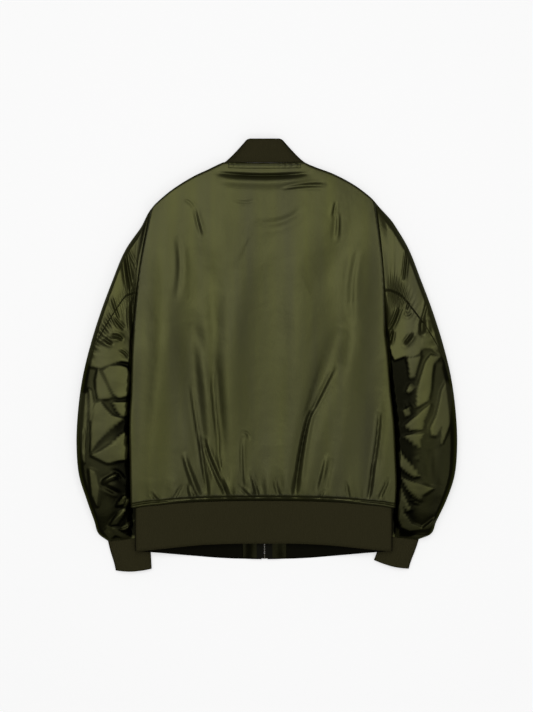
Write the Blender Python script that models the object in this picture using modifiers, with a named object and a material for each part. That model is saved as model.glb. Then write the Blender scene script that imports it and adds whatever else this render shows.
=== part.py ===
"""Bomber jacket lying on its front, back side up, closed with a zip.

Millimetres are used throughout and turned into metres when a mesh is made. +Z is up, away from the
surface the jacket lies on; +Y runs from hem to collar; +X is to the right of someone looking down on
the back. The origin is under the middle of the jacket's outline, on the surface.

Each cloth piece is a grid of points through sections of the garment, thickened into a wall. The body
and each sleeve are flattened tubes, so a back panel lies over the fronts and the sleeves' inner edges
lie under the body's sides.
"""

import math
from functools import partial

import bmesh
import bpy
import numpy as np

MM = 0.001
SHELL = 3.0  # nylon, wadding and lining together
RIB = 3.0  # doubled rib knit
GAP = 0.3  # between pieces at a seam
TURN_SAGITTA = 8.0  # how far a side fold rounds, seen from above

HEM_Y = -262.0  # hem seam at the side folds
UNDERARM_Y = 40.0
SHOULDER_Y = 259.0  # where shoulder, sleeve and body meet
SHOULDER_TILT = 6.0  # the right shoulder's end lies this far up, the left one's this far down
SLEEVE_LEAN = 4.0  # how far the sleeves' outer edges lie to the right of an even outline
NECK_X, NECK_Y = 71.5, 332.0  # side neck point
FRONT_NECK_DROP = 84.0
ZIP_HALF = 5.0  # from the centre line to a front's edge
ZIP_LIFT = 4.5  # how far the fronts rise at the zip, so that its slider clears the surface
ZIP_LIFT_HALF = 16.0  # half the width that rises fully


def table(columns, *rows):
    """A table of numbers as {column: values}, a row for each section."""
    return dict(zip(columns.split(), np.array(rows, float).T))


# The body from hem to shoulder. half: half its width; lean: how far its middle lies off centre;
# seam_z: height of the side seam; edge_z, middle_z: height of the back at its edge and middle;
# turn: how far round the side fold the back goes, in radians, before its seam.
BODY = table(
    "y half lean seam_z edge_z middle_z turn",
    (-262, 229, -3, 21, 37, 34, 3.05),
    (-221, 233, -4.5, 21, 38, 34, 3.05),
    (-180, 233, -6, 21, 38, 33, 3.05),
    (-111, 231, -8, 21, 38, 32, 3.05),
    (-61, 226, -8.5, 20, 37, 32, 3.05),
    (0, 222, -9, 19, 37, 32, 2.60),
    (40, 219, -9, 12, 35, 32, 1.70),
    (90, 215, -8.5, 12, 34, 32, 1.25),
    (150, 210, -8, 12, 34, 32, 1.25),
    (220, 201, -5, 12, 33, 31, 1.25),
    (259, 195, -2.5, 12, 31, 30, 1.25),
)

# The outline from the shoulder's end to the side of the neck, x outwards.
SHOULDER = table(
    "x y", (71.5, 333), (94, 323), (118, 313), (138, 302.5), (165, 285), (182, 271), (195, 259)
)

# The sleeve's sections, each a straight line seen from above, from its outer to its inner edge.
# tuck: how far inside the body's edge its inner end lies; crown: its height.
SLEEVE = table(
    "row out_x out_y in_y tuck crown",
    (0, 195, 259, 40, 0, 31.5),
    (1, 221, 222, 32, -2, 35),
    (2, 246, 182, 22, -2, 38),
    (3, 267, 130, 8, 0, 40),
    (4, 287, 76, -12, 5, 42),
    (5, 304, 22, -42, 19, 44),
    (6, 318, -35, -85, 33, 46),
    (7, 326, -92, -130, 41, 48),
    (8, 329, -150, -178, 42, 49),
    (9, 325, -205, -220, 40, 48),
    (10, 311, -250, -254, 38, 44),
    (11, 296, -287, -284, 35, 38),
    (11.6, 287, -310, -303, 33, 30),
)

# Where each cuff is sewn on and where it ends, outer and inner edge, x outwards.
CUFFS = {
    "left": {"side": -1, "seam": ((272, -322), (199, -314)), "end": ((259, -373), (196, -370))},
    "right": {"side": 1, "seam": ((268, -319), (206, -313)), "end": ((251, -370), (190, -355))},
}
CUFF_SEAM_Z, CUFF_END_Z = 16.5, 15.0
TUCKED_Z = 14.5  # height of a sleeve where the body lies over it

# The broad folds of the back: from the hem end to the upper end, with half width and height.
BACK_FOLDS = table(
    "x0 y0 x1 y1 width height",
    (-205, -225, -190, 130, 16, 2.5),
    (-150, -235, -170, 190, 18, 3.0),
    (-72, -240, -150, 60, 14, 3.5),
    (-20, -240, -110, 170, 18, 2.5),
    (52, -240, 120, 120, 15, 3.5),
    (105, -235, 150, 190, 18, 2.5),
    (160, -235, 185, 40, 14, 3.0),
)

# The sleeve's largest folds: place along the rows and round the tube, half sizes and height.
SLEEVE_FOLDS = table(
    "row angle long round height",
    (3.0, 2.0, 0.8, 0.50, -2.5),
    (4.6, 2.1, 0.7, 0.55, -3.0),
    (6.2, 1.8, 0.8, 0.60, -3.5),
    (7.6, 2.0, 0.8, 0.50, 3.5),
    (9.2, 1.2, 0.8, 0.45, -4.0),
)

HEM = table(  # the hem rib, from the middle to its side fold: seam and edge of its back and front
    "x back_seam back_edge front_seam front_edge back_z lift",
    (0, -251, -325, -279, -354, 24, 0),
    (60, -251.5, -325.5, -278, -353, 24, 0),
    (115, -253, -328, -275, -349, 26, 1),
    (150, -255, -331, -271, -345, 29, 10),
    (182, -258, -334, -267, -341, 33, 20),
    (205, -260, -336, -265, -339, 35, 21),
    (222, -263, -337, -263, -337, 35, 21),
)
HEM_HALF, HEM_LEAN, HEM_TAB = 222.0, -1.5, 38.0

COLLAR_TOP = table(  # the collar's upper edge against its seam, as shares of the way round a half
    "share base_x top_x top_y z",
    (0.00, 0, 0, 374, 26),
    (0.14, 28, 18, 374, 26),
    (0.26, 54, 27, 373.8, 24),
    (0.36, 71.4, 33, 372, 12),
    (0.46, 69.5, 37, 364, 2),
    (0.62, 60, 38, 336, 0),
    (0.80, 38, 30, 306, 0),
    (1.00, 8, 10, 290, 0),
)

BINDING_HALF, BINDING = 62.0, 1.0  # half the length and the thickness of the neck binding

TAPE = 1.0
TAPE_FROM, TAPE_TO = 0.6, 13.5  # from the centre line to a zip tape's edges
ZIP_TOP_Y, ZIP_END_Y = 242.0, -352.0
TAPE_Z = ZIP_LIFT + SHELL + GAP  # the outer face of the tapes
PIVOT_Y, PIVOT_Z = 237.0, 3.7  # the pull tab's pin
SLIDER_LOW, SLIDER_HIGH = (-4.4, 231, 4.9), (4.4, 246, 11.3)
SLIDER_SLOT_Z = (6.4, 9.8)  # the tapes and teeth run between the slider's plates
TAB_LENGTH, TAB_HALF, TAB_THICK = 30.0, 3.5, 1.2


def through(rows, by, column, at):
    """The column's value where the column named by is at, on a smooth curve through the rows."""
    x, y = rows[by], rows[column]
    slope = np.gradient(y, x) if len(x) > 2 else np.full(2, (y[1] - y[0]) / (x[1] - x[0]))
    at = np.clip(at, x[0], x[-1])
    i = np.clip(np.searchsorted(x, at, side="right") - 1, 0, len(x) - 2)
    step = x[i + 1] - x[i]
    t = (at - x[i]) / step
    return (
        (1 + 2 * t) * (1 - t) ** 2 * y[i]
        + t * (1 - t) ** 2 * step * slope[i]
        + t * t * (3 - 2 * t) * y[i + 1]
        + t * t * (t - 1) * step * slope[i + 1]
    )


def ease(x):
    x = np.clip(x, 0, 1)
    return x * x * (3 - 2 * x)


def mix(a, b, t):
    return a + (b - a) * t


# --- sleeves -------------------------------------------------------------------------------------


def sleeve_rows(cuff):
    """The sleeve's table with that side's cuff seam as its last row."""
    (out_x, out_y), (in_x, in_y) = cuff["seam"]
    tuck = BODY["half"][0] - in_x
    last = dict(row=12, out_x=out_x, out_y=out_y, in_y=in_y, tuck=tuck, crown=CUFF_SEAM_Z)
    return {column: np.append(values, last[column]) for column, values in SLEEVE.items()}


def flat_ring(angle, crown, inner, low_from=1.0, flatness=0.0, ends=(0, 0)):
    """(share of the way from outer to inner edge, height) round a tube that lies flat.

    The angle is 0 at the outer edge, a quarter turn on top and a half turn at the inner edge. The
    tube is as high as crown, and only as high as inner from the share low_from onwards. A flatness
    of 1 squares the ring off, flat underneath. Its ends are drawn in by these shares.
    """
    cos, sin = np.cos(angle), np.abs(np.sin(angle))
    across = 0.5 * (1 - np.sign(cos) * np.abs(cos) ** mix(1, 0.85, flatness))
    across = ends[0] + across * (1 - ends[0] - ends[1])
    edge = mix(0.40 * crown, 0.52 * inner, across)
    top = mix(crown, inner, ease((across - low_from + 0.5) / 0.5))
    on_top = np.sin(angle) >= 0
    over = edge + (top - edge) * sin ** mix(1, 0.75, flatness)
    under = edge * (1 - sin ** mix(1, 0.45, flatness))
    return across, np.where(on_top, over, under)


def sleeve_points(row, angle, cuff, inset=0.0):
    """Points of the sleeve, at rows along it and angles round it; inset goes inwards from outside."""
    rows, side = sleeve_rows(cuff), cuff["side"]
    value = {c: through(rows, "row", c, row) for c in ("out_x", "out_y", "in_y", "tuck", "crown")}
    inner = mix(value["crown"], TUCKED_Z, ease((row - 0.5) / 2.5))
    inner = np.where(row > 11, mix(TUCKED_Z, CUFF_SEAM_Z, ease(row - 11)), inner)
    in_x = through(BODY, "y", "half", value["in_y"]) - value["tuck"]
    low_from = 1 - (value["tuck"] + 6) / (value["out_x"] - in_x)
    low_from = mix(1, low_from, ease(row / 3))
    width = np.hypot(value["out_x"] - in_x, value["out_y"] - value["in_y"])
    # A section that meets the sleeve's edge at a slant is drawn in further along its own length.
    ends = mix(3.0, 1.0, ease(row / 4)), mix(5.0, 1.3, ease(row / 6))
    ends = [inset * slant / width for slant in ends]
    ring = value["crown"], inner, low_from, ease(row / 5), ends
    across, height = flat_ring(angle, *ring)
    body_lean = through(BODY, "y", "lean", value["in_y"])
    out_lean = mix(BODY["lean"][-1], SLEEVE_LEAN, ease(row)) * (1 - ease((row - 9.5) / 2.5))
    out_x = side * value["out_x"] + out_lean
    out_y = value["out_y"] + side * SHOULDER_TILT * (1 - ease(row / 3))
    in_x = side * in_x + body_lean * (1 - ease((row - 10) / 2))
    bow = side * 3.5 * np.sin(math.pi * across) * (1 - ease(row / 1.5))
    x = mix(out_x, in_x, across) + bow
    y = mix(out_y, value["in_y"], across)
    for at, centre, long, wide, rise in zip(*SLEEVE_FOLDS.values()):
        bump = np.exp(-(((row - at) / long) ** 2) - ((angle - centre) / wide) ** 2)
        height = height + rise * bump
    top = np.maximum(flat_ring(np.arccos(np.cos(angle)), *ring)[1], 4 * inset + 1)
    height = inset + height * (1 - 2 * inset / top)
    return np.stack([x, y, np.maximum(height, inset)], axis=-1)


def armhole_height(y, on_top):
    """Height of the armhole seam, on the back or under the front."""
    share = np.clip((SHOULDER_Y - y) / (SHOULDER_Y - UNDERARM_Y), 0, 1)
    cos = np.abs(1 - 2 * share) ** (1 / 0.85)
    half_turn = np.where(share < 0.5, np.arccos(cos), math.pi - np.arccos(cos))
    angle = half_turn if on_top else 2 * math.pi - half_turn
    crown = SLEEVE["crown"][0]
    return flat_ring(angle, crown, crown)[1]


# --- body ----------------------------------------------------------------------------------------


def edge_half(y):
    """Half the body's width, with the armhole's slight bow."""
    share = np.clip((SHOULDER_Y - y) / (SHOULDER_Y - UNDERARM_Y), 0, 1)
    straight = mix(BODY["half"][-1], through(BODY, "y", "half", UNDERARM_Y), share)
    armhole = straight + 3.5 * np.sin(math.pi * share)
    return np.where(y > UNDERARM_Y, armhole, through(BODY, "y", "half", y))


def edge_lean(y):
    """How far the body's middle lies off centre, straight along the armhole as the sleeve's end is."""
    share = np.clip((SHOULDER_Y - y) / (SHOULDER_Y - UNDERARM_Y), 0, 1)
    armhole = mix(BODY["lean"][-1], through(BODY, "y", "lean", UNDERARM_Y), share)
    return np.where(y > UNDERARM_Y, armhole, through(BODY, "y", "lean", y))


def seam_height(y, on_top):
    return np.where(y > UNDERARM_Y, armhole_height(y, on_top), through(BODY, "y", "seam_z", y))


def top_outline(x):
    """The upper outline: the neck seam across the back, then the shoulder."""
    x = np.abs(x)
    return np.where(x < NECK_X, NECK_Y + 1.5 * (x / NECK_X) ** 2, through(SHOULDER, "x", "y", x))


def tilt(x, edge_y):
    """How far up the shoulder line is moved at x, growing from underarm to shoulder."""
    out = (np.abs(x) - NECK_X) / (BODY["half"][-1] - NECK_X)
    up = (edge_y - UNDERARM_Y) / (SHOULDER_Y - UNDERARM_Y)
    return np.sign(x) * SHOULDER_TILT * np.clip(out, 0, 1) * np.clip(up, 0, 1)


def zip_lift(reach):
    """How far the fronts rise beside the zip."""
    return ZIP_LIFT * (1 - ease((reach - ZIP_LIFT_HALF) / 22))


def front_neck(x):
    """The neck seam across the front."""
    dip = FRONT_NECK_DROP * np.sqrt(np.clip(1 - (x / NECK_X) ** 2, 0, 1))
    return top_outline(x) - dip


def back_points(up, across):
    """Points of the back: up from 0 at the hem to 1, across from -1 to 1 between its side edges."""
    flat = 0.88  # the share of the width before the side fold
    rise = np.sin(0.5 * math.pi * np.clip((up - 0.9) / 0.1, 0, 1)) * 0.1 + np.minimum(up, 0.9)
    edge_y = mix(HEM_Y, SHOULDER_Y, rise)
    half, turn = edge_half(edge_y), through(BODY, "y", "turn", edge_y)
    share = np.abs(across)
    over_edge = np.clip((share - flat) / (1 - flat), 0, 1)
    angle = turn * over_edge
    reach = (half - TURN_SAGITTA) * np.minimum(share / flat, 1) + TURN_SAGITTA * np.sin(angle)
    x = np.sign(across) * reach
    top_x = (BODY["half"][-1] - TURN_SAGITTA) * np.minimum(share / flat, 1)
    top_x = np.sign(across) * (top_x + TURN_SAGITTA * np.sin(0.5 * math.pi * over_edge))
    hem_y = through(HEM, "x", "back_seam", np.abs(x)) + GAP
    y = mix(hem_y, top_outline(top_x), rise) + tilt(top_x, edge_y)
    over = through(BODY, "y", "edge_z", edge_y)
    height = mix(through(BODY, "y", "middle_z", edge_y), over, share**3)
    for x0, y0, x1, y1, wide, high in zip(*BACK_FOLDS.values()):
        along = np.clip((y - y0) / (y1 - y0), 0, 1)
        off = (x - mix(x0, x1, along)) / (wide * (1 + along))
        fade = np.sin(math.pi * (0.12 + 0.88 * along)) * (1 - ease((share - 0.8) / 0.1))
        height = height + high * np.exp(-off * off) * fade
    neck = 1 - ease((np.abs(top_x) - 62) / 20)
    # The cloth sags under the neck seam into one fold across the back.
    slit = np.exp(-(((y - 314) / 5.0) ** 2)) * (1 - ease((np.abs(x + 5) - 50) / 28))
    height = height - 7 * slit
    side_drop = (1 - np.cos(angle)) / (1 - np.cos(turn))
    seam = seam_height(edge_y, True)
    top_drop = 1 - np.sqrt(1 - np.clip((up - 0.95) / 0.05, 0, 1) ** 2)
    top_seam = mix(12.0, 26.0, neck)
    hem_drop = 1 - ease(up / 0.035)
    hem_seam = through(HEM, "x", "back_z", np.abs(x))
    z = height - (height - seam) * side_drop
    z = z - (height - top_seam) * top_drop * (1 - side_drop)
    z = z - (height - hem_seam) * hem_drop * (1 - side_drop)
    return np.stack([x + edge_lean(edge_y) * (1 - neck * ease(up)), y, z], axis=-1)


def front_points(up, out, side):
    """Points of a front's outside: up from hem to shoulder, out from 0 at the zip to 1 at the side."""
    edge_y = mix(HEM_Y, SHOULDER_Y, up)
    under = through(BODY, "y", "turn", edge_y)
    half = edge_half(edge_y) - TURN_SAGITTA * (1 - np.sin(np.maximum(under, math.pi / 2)))
    reach = mix(ZIP_HALF, half, out)
    top_x = mix(ZIP_HALF, BODY["half"][-1], out)
    y = mix(through(HEM, "x", "front_seam", reach) + GAP, front_neck(top_x), up)
    y = y + tilt(side * top_x, edge_y)
    seam = seam_height(edge_y, False)
    tucked = mix(100.0, 45.0, ease((edge_y - UNDERARM_Y) / 100))
    z = zip_lift(reach) + seam * ease((reach - half + tucked) / (0.52 * tucked))
    shoulder = ease((top_x - 50) / 30)
    near_top = 1 - np.sqrt(1 - np.clip((up - 0.93) / 0.07, 0, 1) ** 2)
    z = z + (12.0 - z) * near_top * shoulder
    x = side * reach + edge_lean(edge_y) * ease((reach - 30) / 120)
    return np.stack([x, y, z], axis=-1)


# --- ribs ----------------------------------------------------------------------------------------


def hem_section(turns):
    """The hem rib's line round the body, from one zip edge, over the back, to the other.

    turns runs from -1 to 1; returns x, height and how far towards the front each place is.
    """
    share = np.abs(turns)
    over = np.clip(share / 0.46, 0, 1)  # across the back
    round_it = np.clip((share - 0.46) / 0.1, 0, 1) * math.pi  # round the side fold
    back_in = np.clip((share - 0.56) / 0.44, 0, 1)  # along the front
    flat = HEM_HALF - 7
    reach = flat * over + 7 * np.sin(round_it) - (flat - HEM_TAB - GAP) * back_in
    high = through(HEM, "x", "back_z", reach)
    low = through(HEM, "x", "lift", reach)
    front = 0.5 * (1 - np.cos(round_it))
    return np.sign(turns) * reach, np.maximum(mix(high, low, front), 0), front


def hem_points(down, turns):
    x, z, front = hem_section(turns)
    reach = np.abs(x)
    edge = {c: through(HEM, "x", c, reach) for c in HEM if c.endswith(("seam", "edge"))}
    seam = mix(edge["back_seam"], edge["front_seam"], front)
    end = mix(edge["back_edge"], edge["front_edge"], front)
    lean = HEM_LEAN * ease((reach - 30) / 120)
    return np.stack([x + lean, mix(seam, end, down), z], axis=-1)


def tab_points(down, out, side):
    """The cloth end of the hem beside the zip."""
    reach = mix(ZIP_HALF, HEM_TAB, out)
    y = mix(through(HEM, "x", "front_seam", reach), through(HEM, "x", "front_edge", reach), down)
    return np.stack([side * reach, y, zip_lift(reach)], axis=-1)


def tape_points(down, out, side):
    """The face of a zip tape."""
    reach = mix(TAPE_FROM, TAPE_TO, out)
    y = mix(ZIP_TOP_Y, ZIP_END_Y, down) + 0 * out
    return np.stack([side * reach, y, TAPE_Z + 0 * reach], axis=-1)


def collar_points(up, turns):
    """The collar: up from its seam to its edge, turns from one front end round the neck to the other."""
    share, side = np.abs(turns), np.sign(turns)
    value = {c: through(COLLAR_TOP, "share", c, share) for c in COLLAR_TOP}
    base_y = np.where(share > 0.36, front_neck(value["base_x"]), top_outline(value["base_x"]))
    x = mix(value["base_x"], value["top_x"], np.maximum(up, 0) ** 0.85)
    y = mix(base_y + GAP, value["top_y"], up)
    lift = 4 * up * ease((value["z"] - 12) / 12)
    return np.stack([side * x, y, np.maximum(value["z"] + lift, 0)], axis=-1)


def cuff_points(down, angle, cuff):
    (so, si), (eo, ei) = cuff["seam"], cuff["end"]
    high = mix(CUFF_SEAM_Z, CUFF_END_Z, down)
    across, z = flat_ring(angle, high, high, flatness=1)
    x = mix(mix(so[0], eo[0], down), mix(si[0], ei[0], down), across)
    y = mix(mix(so[1], eo[1], down), mix(si[1], ei[1], down), across)
    y = y - 3.0 * down * np.sin(math.pi * across)
    return np.stack([cuff["side"] * x, y, np.maximum(z, 0)], axis=-1)


# --- meshes --------------------------------------------------------------------------------------


def material(name, colour, roughness, metallic=0.0):
    made = bpy.data.materials.new(name)
    made.use_nodes = True
    shader = made.node_tree.nodes["Principled BSDF"]
    shader.inputs["Base Color"].default_value = (*colour, 1)
    shader.inputs["Roughness"].default_value = roughness
    shader.inputs["Metallic"].default_value = metallic
    return made


def add_object(name, mesh, finish, group=None):
    mesh.materials.append(finish)
    obj = bpy.data.objects.new(name, mesh)
    (group or jacket).objects.link(obj)
    return obj


def trimmed(points, amounts):
    """The grid with its edges drawn in: amounts for its first and last row, then column."""
    points = points.copy()
    for axis, (first, last) in enumerate(((amounts[0], amounts[1]), (amounts[2], amounts[3]))):
        grid = np.swapaxes(points, 0, axis)
        for end, inner, amount in ((0, 1, first), (-1, -2, last)):
            way = grid[inner] - grid[end]
            grid[end] += way / np.linalg.norm(way, axis=-1, keepdims=True) * np.reshape(amount, (-1, 1))
    return points


def outward(surface, v, u):
    """The surface's normal, from points a little to each side."""
    step = 1e-4
    along = surface(v + step, u) - surface(v - step, u)
    around = surface(v, u + step) - surface(v, u - step)
    normal = np.cross(around, along)
    return normal / np.linalg.norm(normal, axis=-1, keepdims=True)


def softened(normal):
    """Normals evened out with their neighbours', so that a wall stays whole round a tight bend."""
    for _ in range(3):
        wide = np.pad(normal, ((1, 1), (1, 1), (0, 0)), mode="edge")
        normal = normal + wide[2:, 1:-1] + wide[:-2, 1:-1] + wide[1:-1, 2:] + wide[1:-1, :-2]
        normal = normal / np.linalg.norm(normal, axis=-1, keepdims=True)
    return normal


def add_shell(
    name, surface, v, u, wall, finish, trim=(0, 0, 0, 0), side=1, tube=False, out=0.0, inside=None
):
    """A wall under the surface, over the grid of v and u, or between it and the surface inside.

    Its faces look along the surface's normal, or against it if side is -1. It is drawn in at its
    edges by trim, and lies out above the surface. A tube's columns close into a ring.
    """
    normal = side * outward(surface, v, u)
    outside = trimmed(surface(v, u), trim) + out * normal
    if inside:
        layers = (outside, trimmed(inside(v, u), trim))
    else:
        layers = (outside, outside - wall * (normal if tube else softened(normal)))
    rows, columns = v.shape
    mesh = bpy.data.meshes.new(name)
    build = bmesh.new()
    verts = [[[build.verts.new(p * MM) for p in line] for line in layer] for layer in layers]

    def face(*corners):
        build.faces.new(corners[::side])

    for r in range(rows - 1):
        for c in range(columns if tube else columns - 1):
            d = (c + 1) % columns
            for layer, way in zip(verts, (1, -1)):
                face(*(layer[r][c], layer[r][d], layer[r + 1][d], layer[r + 1][c])[::way])
    rim = [(0, c) for c in range(columns)]
    if tube:
        rims = [rim + rim[:1], [(rows - 1, c) for c in range(columns, -1, -1)]]
        rims[1] = [(r, c % columns) for r, c in rims[1]]
    else:
        rim += [(r, columns - 1) for r in range(1, rows)]
        rim += [(rows - 1, c) for c in range(columns - 2, -1, -1)]
        rims = [rim + [(r, 0) for r in range(rows - 2, -1, -1)]]
    for rim in rims:
        for (r, c), (q, d) in zip(rim, rim[1:]):
            here, there = (verts[0][r][c], verts[1][r][c]), (verts[0][q][d], verts[1][q][d])
            # The same diagonal as the neighbouring piece's rim.
            if (r, c) < (q, d):
                face(there[1], there[0], here[0])
                face(there[1], here[0], here[1])
            else:
                face(there[0], here[0], here[1])
                face(there[1], there[0], here[1])
    build.to_mesh(mesh)
    build.free()
    return add_object(name, mesh, finish)


def grid(rows, columns):
    return np.meshgrid(np.asarray(rows, float), np.asarray(columns, float), indexing="ij")


def add_box(name, low, high, finish, bevel=0.0, group=None):
    mesh = bpy.data.meshes.new(name)
    build = bmesh.new()
    bmesh.ops.create_cube(build, size=1)
    low, high = np.array(low, float), np.array(high, float)
    for vert in build.verts:
        vert.co = ((low + high) / 2 + np.array(vert.co) * (high - low)) * MM
    build.to_mesh(mesh)
    build.free()
    obj = add_object(name, mesh, finish, group)
    if bevel:
        edge = obj.modifiers.new("Edge", "BEVEL")
        edge.width = bevel * MM
        edge.segments = 2
    return obj


def combine(obj, other, operation):
    """Joins other to obj, or cuts it away; other is a hidden helper."""
    step = obj.modifiers.new(operation.title(), "BOOLEAN")
    step.operation = operation
    step.object = other
    other.hide_render = True
    other.display_type = "WIRE"


for old in list(bpy.data.objects):
    bpy.data.objects.remove(old)
jacket = bpy.data.collections.new("Bomber jacket")
helpers = bpy.data.collections.new("Helpers")
for group in (jacket, helpers):
    bpy.context.scene.collection.children.link(group)

nylon = material("Nylon", (0.062, 0.060, 0.026), 0.42)
rib_knit = material("Rib knit", (0.024, 0.022, 0.011), 0.9)
zip_tape = material("Zip tape", (0.03, 0.03, 0.016), 0.8)
zip_metal = material("Zip metal", (0.45, 0.43, 0.38), 0.35, 1.0)

# Back panel.
fold_columns = 1 - 0.12 * np.array([0, 0.2, 0.4, 0.6, 0.8])
half_columns = np.concatenate([fold_columns, np.linspace(0.88, 0, 9)])
across = np.concatenate([-half_columns, half_columns[-2::-1]])
up = np.concatenate(
    [[0, 0.012, 0.035], np.linspace(0.08, 0.86, 12), [0.915, 0.945, 0.962, 0.978, 0.99, 1]]
)
v, u = grid(up, across)
add_shell("back", back_points, v, u, SHELL, nylon, (0, GAP, GAP, GAP))

# The binding along the neck seam, topstitched to the back.
turn_in = 0.88 * BINDING_HALF / (BODY["half"][-1] - TURN_SAGITTA)
v, u = grid([0.972, 0.984, 0.992, 0.998], np.linspace(-turn_in, turn_in, 9))
add_shell("neck_binding", back_points, v, u, BINDING, nylon, out=GAP + BINDING)

# Fronts, left and right of the zip as the wearer has them.
out = np.array([0, 0.055, 0.14, 0.2, 0.26, 0.31, 0.35, 0.42, 0.5, 0.6, 0.7, 0.8, 0.9, 1])
up = np.concatenate([np.linspace(0, 0.88, 13), [0.93, 0.955, 0.98, 1]])
turn = through(BODY, "y", "turn", mix(HEM_Y, SHOULDER_Y, up))
side_gap = GAP + 1.4 + 1.1 * SHELL * np.sin(turn)
v, u = grid(up, out)
for name, side in (("left", -1), ("right", 1)):
    surface = partial(front_points, side=side)
    add_shell("front_" + name, surface, v, u, SHELL, nylon, (0, GAP + 5.8, 0, side_gap), -side)

# Sleeves: an upper piece over the outer edge, and an under piece, joined by a back and a front seam.
BACK_SEAM = table("row angle", (0, 1.95), (2, 1.55), (4, 1.05), (5.5, 0.45), (6.5, 0.05), (12, -0.15))
FRONT_SEAM = table("row angle", (0, -1.95), (4, -2.0), (12, -2.3))
rows = np.concatenate([[0, 0.35], np.linspace(0.8, 6.8, 13), [7.4, 8, 8.6, 9.3, 10, 10.8, 11.4, 11.75, 12]])
for name, cuff in CUFFS.items():
    surface = partial(sleeve_points, cuff=cuff)
    back = through(BACK_SEAM, "row", "angle", rows)
    front = through(FRONT_SEAM, "row", "angle", rows)
    row, share = grid(rows, np.linspace(0, 1, 11))
    for piece, start, end in (("upper", front, back), ("under", back, front + 2 * math.pi)):
        angle = mix(start[:, None], end[:, None], share)
        trim = (GAP + 0.6, 3 * GAP, GAP, GAP)
        inside = partial(surface, inset=SHELL)
        named = f"sleeve_{piece}_{name}"
        add_shell(named, surface, row, angle, SHELL, nylon, trim, cuff["side"], inside=inside)

# Ribs.
turns = np.concatenate([np.linspace(-1, -0.56, 11), np.linspace(-0.54, -0.48, 3), np.linspace(-0.46, 0, 10)])
turns = np.concatenate([turns, -turns[-2::-1]])
v, u = grid([0, 0.5, 1], turns)
add_shell("hem_rib", hem_points, v, u, RIB, rib_knit, (GAP, 0, 0, 0), -1)
shares = np.array([0, 0.1, 0.2, 0.26, 0.3, 0.33, 0.36, 0.39, 0.42, 0.46, 0.54, 0.66, 0.8, 0.9, 1])
v, u = grid([0, 0.5, 1], np.concatenate([-shares[:0:-1], shares]))
add_shell("collar_rib", collar_points, v, u, RIB, rib_knit, (GAP, 0, 0, 0))
v, u = grid([0, 0.5, 1], np.linspace(0, 2 * math.pi, 17)[:-1])
for name, cuff in CUFFS.items():
    surface = partial(cuff_points, cuff=cuff)
    add_shell("cuff_rib_" + name, surface, v, u, RIB, rib_knit, (GAP, 0, 0, 0), cuff["side"], True)

# Zip: its tapes behind the fronts' edges, the cloth ends of the hem, slider, pull tab and bottom box.
for name, side in (("left", -1), ("right", 1)):
    v, u = grid([0, 0.5, 1], [0, 0.33, 1])
    surface = partial(tab_points, side=side)
    add_shell("hem_tab_" + name, surface, v, u, SHELL, nylon, (GAP, 0, 0, GAP), side)
    v, u = grid([0, 1], [0, 1])
    surface = partial(tape_points, side=side)
    add_shell("zip_tape_" + name, surface, v, u, TAPE, zip_tape, side=side)
slider = add_box("zip_slider", SLIDER_LOW, SLIDER_HIGH, zip_metal)
slot_low = (-6, SLIDER_LOW[1] - 1, SLIDER_SLOT_Z[0])
slot_high = (6, ZIP_TOP_Y + 1, SLIDER_SLOT_Z[1])
slot = add_box("slider slot", slot_low, slot_high, zip_metal, group=helpers)
combine(slider, slot, "DIFFERENCE")
lug_low = (-1.1, PIVOT_Y - 3.6, PIVOT_Z - 1.7)
lug = add_box("slider lug", lug_low, (1.1, PIVOT_Y + 3.6, SLIDER_LOW[2] + 0.5), zip_metal, group=helpers)
eye_low = (-2, PIVOT_Y - 2.2, PIVOT_Z - 0.8)
eye = add_box("slider eye", eye_low, (2, PIVOT_Y + 2.2, PIVOT_Z + 0.9), zip_metal, group=helpers)
combine(lug, eye, "DIFFERENCE")
combine(slider, lug, "UNION")
half = TAB_THICK / 2
tab_low = (-TAB_HALF, PIVOT_Y - TAB_LENGTH, PIVOT_Z - half)
pull = add_box("zip_pull", tab_low, (TAB_HALF, PIVOT_Y + half, PIVOT_Z + half), zip_metal)
window_low = (-2.2, PIVOT_Y - 8.5, 0)
window = add_box("pull window", window_low, (2.2, PIVOT_Y - half, 8), zip_metal, group=helpers)
combine(pull, window, "DIFFERENCE")
box_low = (-4.2, ZIP_END_Y - 1, TAPE_Z - 2.6)
add_box("zip_box", box_low, (4.2, ZIP_END_Y + 8, TAPE_Z - GAP), zip_metal, bevel=0.4)
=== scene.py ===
import math
from functools import partial

import bpy
import numpy as np
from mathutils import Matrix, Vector


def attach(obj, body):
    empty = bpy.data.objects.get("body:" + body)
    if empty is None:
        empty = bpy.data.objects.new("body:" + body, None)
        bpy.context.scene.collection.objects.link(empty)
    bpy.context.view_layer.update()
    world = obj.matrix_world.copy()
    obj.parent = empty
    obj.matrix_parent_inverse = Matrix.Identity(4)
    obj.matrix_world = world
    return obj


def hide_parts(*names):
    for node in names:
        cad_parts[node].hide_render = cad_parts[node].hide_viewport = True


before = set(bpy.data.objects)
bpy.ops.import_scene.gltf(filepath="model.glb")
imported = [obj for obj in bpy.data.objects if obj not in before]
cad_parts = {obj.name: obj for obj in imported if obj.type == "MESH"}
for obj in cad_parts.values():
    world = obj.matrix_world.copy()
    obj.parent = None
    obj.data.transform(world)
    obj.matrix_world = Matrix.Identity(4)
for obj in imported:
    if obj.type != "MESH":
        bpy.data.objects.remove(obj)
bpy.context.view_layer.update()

# --- back ----------------------------------------------------------------------------------------
# The back panel: satin nylon over light wadding and lining, cut in one, sewn to the fronts at
# shoulders and side seams, to the sleeves at the armholes and to the ribs at neck and hem. It lies
# nearly flat over the fronts and rolls over at the sides. Millimetres, turned to metres in a mesh.

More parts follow.
